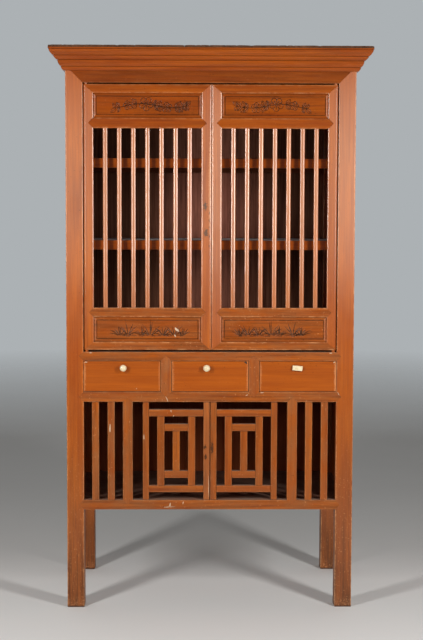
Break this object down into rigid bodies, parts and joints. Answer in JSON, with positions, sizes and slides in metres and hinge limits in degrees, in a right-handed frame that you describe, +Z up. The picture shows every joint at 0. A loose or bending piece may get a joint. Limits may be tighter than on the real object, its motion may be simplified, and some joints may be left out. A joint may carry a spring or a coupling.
{
  "type": "food cabinet",
  "caption": "Lacquered wood kitchen cupboard: slatted double doors and shelves over a drawer row, barred pot store with lattice doors, moulded crown and tall legs.",
  "frame": {"origin": "middle of the whole cupboard's footprint, crown included, on the floor", "axes": "+Z up, -Y out of the front, +X to the right of someone facing the front"},
  "size_m": [1.071, 0.6116, 1.8908],
  "materials": {
    "lacquered_wood": "orange-brown satin lacquer over straight grain, worn at the edges",
    "dark_inside_wood": "dark stained boards, dry and dusty",
    "bare_drawer_wood": "bare softwood",
    "ivory_pull": "ivory-coloured, polished by use"
  },
  "bodies": {
    "carcass": {"post_front_left": "lacquered_wood", "post_front_right": "lacquered_wood", "post_rear_left": "lacquered_wood", "post_rear_right": "lacquered_wood", "bottom_rail_front": "lacquered_wood", "drawer_rail": "lacquered_wood", "waist_rail": "lacquered_wood", "top_rail_front": "lacquered_wood", "bottom_rail_left": "lacquered_wood", "bottom_rail_right": "lacquered_wood", "top_rail_left": "lacquered_wood", "top_rail_right": "lacquered_wood", "bottom_rail_rear": "dark_inside_wood", "rear_drawer_board": "dark_inside_wood", "top_rail_rear": "dark_inside_wood", "side_panel_left": "lacquered_wood", "side_panel_right": "lacquered_wood", "back_panel": "dark_inside_wood", "bottom_board": "dark_inside_wood", "waist_board": "dark_inside_wood", "drawer_bed": "dark_inside_wood", "lower_shelf": "dark_inside_wood", "upper_shelf": "dark_inside_wood", "thin_bar_outer_left": "lacquered_wood", "thin_bar_inner_left": "lacquered_wood", "mullion_left": "lacquered_wood", "thin_bar_outer_right": "lacquered_wood", "thin_bar_inner_right": "lacquered_wood", "mullion_right": "lacquered_wood", "drawer_divider_left": "lacquered_wood", "drawer_divider_right": "lacquered_wood", "crown_front": "lacquered_wood", "crown_left": "lacquered_wood", "crown_right": "lacquered_wood", "roof": "lacquered_wood"},
    "upper_left_door": {"hinge_stile_left": "lacquered_wood", "meeting_stile_left": "lacquered_wood", "door_top_rail_left": "lacquered_wood", "door_bottom_rail_left": "lacquered_wood", "grille_left": "lacquered_wood", "top_panel_left": "lacquered_wood", "bottom_panel_left": "lacquered_wood"},
    "upper_right_door": {"hinge_stile_right": "lacquered_wood", "meeting_stile_right": "lacquered_wood", "door_top_rail_right": "lacquered_wood", "door_bottom_rail_right": "lacquered_wood", "grille_right": "lacquered_wood", "top_panel_right": "lacquered_wood", "bottom_panel_right": "lacquered_wood"},
    "lower_left_door": {"lattice_door_left": "lacquered_wood"},
    "lower_right_door": {"lattice_door_right": "lacquered_wood"},
    "left_drawer": {"drawer_front_left": "lacquered_wood", "drawer_tray_left": "bare_drawer_wood", "knob_left": "ivory_pull"},
    "middle_drawer": {"drawer_front_middle": "lacquered_wood", "drawer_tray_middle": "bare_drawer_wood", "knob_middle": "ivory_pull"},
    "right_drawer": {"drawer_front_right": "lacquered_wood", "drawer_tray_right": "bare_drawer_wood", "block_pull_right": "ivory_pull"}
  },
  "joints": [
    {"name": "upper_left_door_hinge", "type": "hinge", "parent": "carcass", "child": "upper_left_door", "pos_m": [-0.416, -0.24425, 1.32455], "axis": [0, 0, -1], "range_deg": [0, 95]},
    {"name": "upper_right_door_hinge", "type": "hinge", "parent": "carcass", "child": "upper_right_door", "pos_m": [0.416, -0.24425, 1.32455], "axis": [0, 0, 1], "range_deg": [0, 95]},
    {"name": "lower_left_door_hinge", "type": "hinge", "parent": "carcass", "child": "lower_left_door", "pos_m": [-0.21715, -0.24225, 0.5375], "axis": [0, 0, -1], "range_deg": [0, 100]},
    {"name": "lower_right_door_hinge", "type": "hinge", "parent": "carcass", "child": "lower_right_door", "pos_m": [0.21715, -0.24225, 0.5375], "axis": [0, 0, 1], "range_deg": [0, 100]},
    {"name": "left_drawer_slide", "type": "slide", "parent": "carcass", "child": "left_drawer", "axis": [0, -1, 0], "range_m": [0, 0.3]},
    {"name": "middle_drawer_slide", "type": "slide", "parent": "carcass", "child": "middle_drawer", "axis": [0, -1, 0], "range_m": [0, 0.3]},
    {"name": "right_drawer_slide", "type": "slide", "parent": "carcass", "child": "right_drawer", "axis": [0, -1, 0], "range_m": [0, 0.3]}
  ]
}
